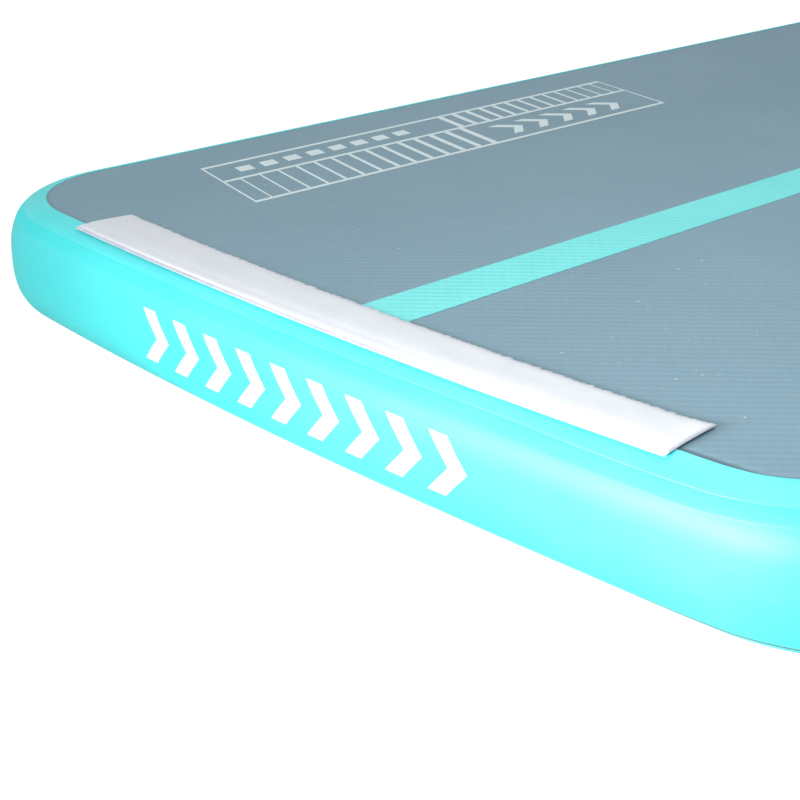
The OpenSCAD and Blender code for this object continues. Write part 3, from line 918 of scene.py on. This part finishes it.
def chevron(ink, x_a, x_b, y, w):
    x_m, tip = (x_a + x_b) / 2, abs(x_b - x_a) / 2
    ink.deck_quad([(x_a, y), (x_m, y + tip), (x_m, y + w + tip), (x_a, y + w)])
    ink.deck_quad([(x_m, y + tip), (x_b, y), (x_b, y + w), (x_m, y + w + tip)])


def end_marks():
    """A row of plain chevrons on the end wall."""
    ink = Print()
    runs = np.linspace(0, GIRTH, 4000)
    heights = section(runs, -TAPE)[1]
    low, high, width, lean, pitch, first = 31 * MM, 75 * MM, 17 * MM, 20 * MM, 41 * MM, -182 * MM
    middle = (low + high) / 2
    u, v = np.linspace(0, 1, 7)[:, None], np.linspace(0, 1, 12)
    for k in range(9):
        for z0, z1, x0, x1 in ((low, middle, 0, lean), (middle, high, lean, 0)):
            x = (first + k * pitch + x0 + (x1 - x0) * v)[None, :] + width * u
            a = np.arcsin(x / END_R)
            run = np.broadcast_to(np.interp(-(z0 + (z1 - z0) * v), -heights, runs), x.shape)
            wave = np.stack([waviness(a[i] * END_R, run[i]).diagonal() for i in range(len(u))])
            faces = []
            for off in INK_FACES:
                inset, z = section(run, -TAPE + wave + off)
                r = END_R - inset
                faces.append(xyz(r * np.sin(a), END_CY - r * np.cos(a), z)[:, ::-1])
            ink.film(*faces)
    return ink.build("end_markings")


finish_piece(deck_marks(), INK, "deck_print")
finish_piece(end_marks(), INK, "end_print")


# -------- carry straps
MID_RUN = GIRTH / 2
STRAP_W, STRAP_T = 25 * MM, 2 * MM
CHORD, STRAP_ANGLE = 220 * MM, math.radians(25)
STRAP_R = CHORD / 2 / math.sin(STRAP_ANGLE)
SAG = STRAP_R * (1 - math.cos(STRAP_ANGLE))
PATCH_L, PATCH_H, PATCH_FROM = 58 * MM, 35 * MM, CHORD / 2 - 3 * MM


def strap_bow(y):
    """How far the slack webbing stands off the wall."""
    arc = np.sqrt(STRAP_R**2 - np.asarray(y) ** 2) - (STRAP_R - SAG)
    return 0.5 * (arc + np.sqrt(arc**2 + (1.2 * MM) ** 2))


def webbing_strap(side, word):
    reach = PATCH_FROM + 44 * MM       # the webbing's ends are held under the patches
    y = np.linspace(-reach, reach, 331)
    bow = strap_bow(y) + 0.25 * MM * noise(y / 0.03, 0, 61)
    slope = np.gradient(bow, y)
    out = np.stack([np.ones_like(slope), -slope], -1) / np.sqrt(1 + slope**2)[:, None]
    half = np.linspace(-1, 1, 27)
    across = half * (STRAP_W / 2 - 0.15 * MM)
    edge = np.sqrt(np.maximum(0, 1 - np.maximum(0, (np.abs(half) - 0.90) / 0.10) ** 2))
    thick = STRAP_T / 2 * (0.35 + 0.65 * edge)
    # the edges of a loaded strap curl in a little, and the selvage is corded
    cup = 0.7 * MM * half[None, :] ** 2 * smooth(bow, 2 * MM, 14 * MM)[:, None]
    cord = 0.18 * MM * np.exp(-((np.abs(half) - 0.92) / 0.03) ** 2)
    sheets = []
    for face in (1, -1):
        off = bow[:, None] + STRAP_T / 2 - cup + face * (thick + cord)[None, :]
        base = off - bow[:, None]
        sheets.append(xyz(side * (WALL_X + bow[:, None] + base * out[:, :1]),
                          y[:, None] + base * out[:, 1:], MID_Z + across[None, :]))
    sheets.append(xyz(across[None, :], y[:, None], 0.0))
    return closed_sheet(word + "_webbing", *[sheet[:, ::side] for sheet in sheets])


def strap_patch_grid(side, end):
    """One welded patch: thin round its rim, and swelling over the webbing that it holds. Gives its
    upper face, its lower face and its place on the cloth."""
    s = np.concatenate([np.linspace(0, 4, 9)[:-1], np.linspace(4, 46, 40)[:-1],
                        np.linspace(46, 58, 22)]) * MM
    corner_in, corner_out = 3 * MM, 9 * MM
    cut = sum(r - np.sqrt(np.maximum(0, r**2 - np.maximum(0, r - from_end) ** 2))
              for r, from_end in ((corner_in, s), (corner_out, PATCH_L - s)))
    v = np.linspace(-1, 1, 49)
    half = (PATCH_H / 2 - cut)[:, None] * v[None, :]
    y = PATCH_FROM + s
    wide = STRAP_W / 2
    over = (1 - smooth(np.abs(half), wide - 0.5 * MM, wide + 3.2 * MM)) * (
        1 - smooth(s, 44 * MM, 50 * MM))[:, None]
    lift = (STRAP_T + strap_bow(y))[:, None] * over
    rim = np.minimum(PATCH_H / 2 - cut[:, None] - np.abs(half), np.minimum(s, PATCH_L - s)[:, None])
    weld = 0.16 * MM * band(rim / MM, (1.2, 1.7), (2.9, 3.4)) * (1 - over)
    skin = (0.9 * smooth(rim, -0.3 * MM, 0.5 * MM) + 0.06) * MM
    seed = 62 + (side > 0) + 2 * (end > 0)
    creases = 0.10 * MM * noise(s[:, None] / 0.004, half / 0.006, seed) * (0.3 + over)
    top = -TAPE + skin + lift - weld + creases
    low = np.full_like(top, -TAPE - 0.2 * MM)
    p = np.stack([np.full_like(y, side * HALF_W), end * y], -1)
    n = np.stack([np.full_like(y, side), np.zeros_like(y)], -1)
    grids = [skin_points(p, n, MID_RUN + half, off) for off in (top, low)]
    grids.append(xyz(end * y[:, None], half, 0.0))
    return [grid[:, ::side * end] for grid in grids]


SIDES = ((1, "right"), (-1, "left"))
for side, word in SIDES:
    finish_piece(webbing_strap(side, word), WEBBING, word + "_carry_strap")
for side, word in SIDES:
    for end, end_word in ((1, "far"), (-1, "near")):
        patch = closed_sheet(f"{word}_{end_word}_strap_patch", *strap_patch_grid(side, end))
        finish_piece(patch, TAPE_PVC, "strap_patches")


# -------- valve
def valve_points(h, r, a):
    """Points about the valve's axis: h outwards from the wall, r from the axis, a round it."""
    return xyz(-(WALL_X + h), VALVE_Y + r * np.cos(a), MID_Z + r * np.sin(a))


def rounded(profile, radius, steps=4):
    """A closed outline of (h, r) corners with each corner rounded off."""
    pts = np.array(profile, float)
    out = []
    for k in range(len(pts)):
        a, b, c = pts[k - 1], pts[k], pts[(k + 1) % len(pts)]
        cut = min(radius, 0.45 * np.linalg.norm(a - b), 0.45 * np.linalg.norm(c - b))
        p, q = b + (a - b) / np.linalg.norm(a - b) * cut, b + (c - b) / np.linalg.norm(c - b) * cut
        for t in np.linspace(0, 1, steps):
            out.append((1 - t) ** 2 * p + 2 * t * (1 - t) * b + t**2 * q)
    return np.array(out)


class Moulding(Shapes):
    """Turned and boxed shapes about the valve's axis."""

    def turn(self, outline, segments=144, shape=None):
        """outline goes round the solid's section; shape(r, a) gives a changed radius."""
        a = full_turn(segments)[:, None]
        h, r = outline[None, :, 0], outline[None, :, 1]
        points = valve_points(h, shape(r, a) if shape else r, a)
        self.take(points, grid_faces(segments, len(outline), True, True))

    def loft(self, rings):
        """rings: a list of equal closed loops of points, capped at both ends."""
        n, m = len(rings), len(rings[0])
        caps = [list(range(m))[::-1], list(range((n - 1) * m, n * m))]
        self.take(np.concatenate(rings), grid_faces(n, m, False, True) + caps)

    def build(self, name, sharp=35):
        obj = self.made(name)
        bm = bmesh.new()
        bm.from_mesh(obj.data)
        bmesh.ops.recalc_face_normals(bm, faces=bm.faces)
        bm.to_mesh(obj.data)
        bm.free()
        sharpen(obj, sharp)
        return obj


def valve_pad_piece():
    """A round welded patch whose edge follows the curve of the wall."""
    r = np.concatenate([np.linspace(16.3, 30, 18)[:-1], np.linspace(30, 36, 19)]) * MM
    a = full_turn(160)[:, None]
    y, dz = r * np.cos(a), r * np.sin(a)
    rim = 36 - r / MM
    weld = 0.2 * band(rim, (1.2, 1.6), (2.6, 3.0))
    proud = 0.9 * smooth(rim, -0.2, 0.5) + 0.06 - weld + 0.05 * noise(y / 0.004, dz / 0.004, 65)
    inset, z = section(MID_RUN - dz, -TAPE + proud * MM)
    plate, flat = smooth(rim, 3.0, 6.5), TAPE - 2.0 * MM      # the middle is a flat plate
    inset = inset * (1 - plate) + flat * plate
    z = z * (1 - plate) + (MID_Z + dz) * plate
    top = xyz(inset - HALF_W, VALVE_Y + y, z)
    inset, z = section(MID_RUN - dz, -TAPE - 0.2 * MM)
    low = xyz(inset - HALF_W, VALVE_Y + y, z)
    cloth = xyz(y, dz, 0.0)
    ring, fabric = (np.concatenate([face, back[:, ::-1]], 1)
                    for face, back in ((top, low), (cloth, cloth)))
    return new_object("valve_patch", ring, grid_faces(*ring.shape[:2], True, True), fabric=fabric)


def valve_body_piece():
    made = Moulding()

    def notched(r, a):
        return r - 0.9 * MM * smooth(np.cos(12 * a), 0.55, 0.8) * smooth(r, 26.5 * MM, 27.5 * MM)

    made.turn(rounded([(-18, 8.5), (-18, 16), (3.2, 16), (3.2, 28), (6.2, 28), (6.2, 21.5),
                       (5.7, 21.0), (5.7, 19.0), (6.2, 18.5), (6.2, 12.5), (-15, 12.5),
                       (-15, 8.5)], 0.6) * MM, shape=notched)
    made.turn(rounded([(-12, 2.85), (-12, 5), (-9.06, 5), (-9.06, 2.85)], 0.3) * MM, 48)
    # three arms carry the hub
    half_w, low, high = 1.5, -11.5, -9.5
    loop = [(half_w, low), (half_w, high), (-half_w, high), (-half_w, low)]
    for k in range(3):
        a0 = math.pi / 2 + k * TAU / 3
        made.loft([np.array([valve_points(h * MM, math.hypot(reach, w) * MM, a0 + math.atan2(w, reach))
                             for w, h in loop]) for reach in np.linspace(3.6, 13.0, 6)])
    return made.build("valve_body")


def valve_cap_piece():
    made = Moulding()

    def fluted(r, a):
        return r - 0.55 * MM * (0.5 + 0.5 * np.cos(40 * a)) * smooth(r, 21.8 * MM, 23.6 * MM)

    made.turn(rounded([(7.4, 24), (11.0, 24), (11.0, 20.6), (10.3, 20.0), (10.3, 0.4), (7.6, 0.4),
                       (7.6, 9.0), (2.6, 9.0), (2.6, 12.0), (7.4, 12.0)], 0.7, 5) * MM, 320, fluted)
    made.turn(rounded([(3.4, 11.6), (3.4, 12.25), (4.4, 12.25), (4.4, 11.6)], 0.3) * MM, 96)
    # finger bar with waisted flanks and round ends
    a = full_turn(56)
    c, q = np.cos(a), np.sin(a)
    rings = []
    for t in np.linspace(0, 1, 12):
        shrink = 1 - 0.10 * t**3 - (0.22 * max(0, t - 0.8) / 0.2) ** 2
        along = 19.0 * np.copysign(np.abs(c) ** 0.55, c) * (1 - 0.05 * t**2)
        waist = 1 - 0.28 * np.cos(math.pi * np.minimum(1.0, np.abs(along) / 19.0) / 2) ** 2
        wide = 3.5 * waist * np.copysign(np.abs(q) ** 0.75, q) * shrink
        rings.append(xyz(-(WALL_X + (10 + 6 * t) * MM), VALVE_Y + wide * MM, MID_Z + along * MM))
    made.loft(rings)
    return made.build("valve_cap_moulding", 40)


def button_piece():
    made = Moulding()
    dome = [(1.8 - 1.1 * (r / 6.0) ** 2, r) for r in (0.15, 1.2, 2.4, 3.6, 4.6, 5.4, 5.85)]
    rest = [(0.2, 6.0), (-1.0, 6.0), (-1.2, 5.8), (-1.2, 2.6), (0.2, 2.5), (0.25, 0.15)]
    made.turn(np.array(dome + rest) * MM, 64)
    return made.build("valve_button_dome")


def spring_piece():
    """A coil with closed end turns, standing on the hub and holding up the button."""
    low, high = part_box("valve_spring")
    coil_r, wire, turns, per_turn, slack = 4 * MM, 0.44 * MM, 4, 44, 0.01 * MM
    t = np.linspace(0, 1, turns * per_turn + 1)
    pitch = 0.98 + 1.9 * band(t, (0.10, 0.34), (0.66, 0.90))
    climb = np.concatenate([[0.0], np.cumsum(pitch[:-1])])
    foot = -(high.x + WALL_X) + wire + slack
    rise = foot + (high.x - low.x - 2 * wire - 2 * slack) * climb / climb[-1]
    b = full_turn(12)
    made = Moulding()
    made.loft([valve_points(h + wire * np.sin(b), coil_r + wire * np.cos(b), TAU * turns * s)
               for h, s in zip(rise, t)])
    return made.build("valve_coil", 60)


finish_piece(valve_pad_piece(), TAPE_PVC, "valve_pad")
finish_piece(valve_body_piece(), PLASTIC, "valve_base")
finish_piece(valve_cap_piece(), PLASTIC, "valve_cap", body="cap")
finish_piece(button_piece(), RUBBER, "valve_button", body="valve_plunger")
coil = finish_piece(spring_piece(), STEEL, "valve_spring", body="valve_plunger")
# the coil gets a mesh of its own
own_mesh(coil)


# -------- materials of the parts that stay as they are
for name, look in (("upper_base_fabric", DROP), ("lower_base_fabric", DROP), ("spacer_yarns", YARN),
                   ("valve_gasket", RUBBER), ("valve_back_nut", PLASTIC), ("valve_stem", PLASTIC),
                   ("valve_seal_disc", RUBBER), ("cap_seal", RUBBER)):
    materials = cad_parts[name].data.materials
    materials.clear()
    materials.append(look)


# -------- floor, light and camera
FLOOR_GLOW, FLOOR_SEEN = 0.42, 1.0     # the floor's own light on the mat, and as the camera meets it


def hang(name, kind, place, aim, power):
    data = bpy.data.lights.new(name, kind)
    data.energy = power
    lamp = bpy.data.objects.new(name, data)
    bpy.context.scene.collection.objects.link(lamp)
    lamp.location = place
    lamp.rotation_euler = (Vector(aim) - Vector(place)).to_track_quat("-Z", "Y").to_euler()
    return data


def studio():
    half, floor_z = 14.0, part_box("base_skin")[0].z - 0.6 * MM
    corners = [(x * half, y * half, floor_z) for x, y in ((-1, -1), (1, -1), (1, 1), (-1, 1))]
    floor = new_object("floor", corners, [(0, 1, 2, 3)])
    look = Look("pale_floor")
    grain = look.noise(look.place(), 3, 2)
    look.finish(look.blend(grain, (0.20,) * 3, (0.22,) * 3), 0.9, 0.1)
    look.bsdf.inputs["Emission Color"].default_value = (1, 1, 1, 1)
    seen = look.node("LightPath").outputs["Is Camera Ray"]
    look.put(look.bsdf.inputs["Emission Strength"], look.span(seen, 0, 1, FLOOR_GLOW, FLOOR_SEEN))
    floor.data.materials.append(look.material)

    world = bpy.data.worlds.new("studio")
    world.use_nodes = True
    back = world.node_tree.nodes["Background"]
    back.inputs["Color"].default_value = (1, 1, 1, 1)
    back.inputs["Strength"].default_value = 0.47
    bpy.context.scene.world = world

    for name, place, aim, size, power in (("key", (0.95, -4.1, 1.40), (0.1, -1.45, 0.08), 0.7, 32),
                                          ("fill", (-2.4, -4.0, 1.1), (-0.3, -1.4, 0.1), 1.2, 14),
                                          ("overhead", (-1.4, 0.10, 2.15), (0.3, -1.45, 0.1), 1.9, 15),
                                          ("top", (0.35, -1.25, 2.3), (0.38, -1.45, 0.1), 0.8, 6)):
        data = hang(name, "AREA", place, aim, power)
        data.shape, data.size = "DISK", size

    # two softened beams, one along the wall and one on the corner nearest the camera
    for name, place, aim, power in (("wall_beam", (-0.65, -4.4, 0.56), (0.28, -1.47, 0.04), 740),
                                    ("corner_beam", (0.45, -4.4, 0.70), (0.46, -1.45, 0.03), 430)):
        data = hang(name, "SPOT", place, aim, power)
        data.shadow_soft_size, data.spot_size, data.spot_blend = 0.34, math.radians(20), 1.0


def photo_camera():
    data = bpy.data.cameras.new("camera")
    data.lens, data.sensor_width = 72.66, 36.0
    data.clip_start, data.clip_end = 0.05, 60
    cam = bpy.data.objects.new("camera", data)
    bpy.context.scene.collection.objects.link(cam)
    cam.matrix_world = Matrix.Translation((0.8442, -2.1877, 0.5147))
    for degrees, axis in ((46.347, "Z"), (90 - 23.088, "X"), (0.209, "Z")):      # yaw, pitch, roll
        cam.matrix_world @= Matrix.Rotation(math.radians(degrees), 4, axis)
    bpy.context.scene.camera = cam


studio()
photo_camera()
bpy.context.scene.view_settings.view_transform = "Standard"

bpy.context.view_layer.update()
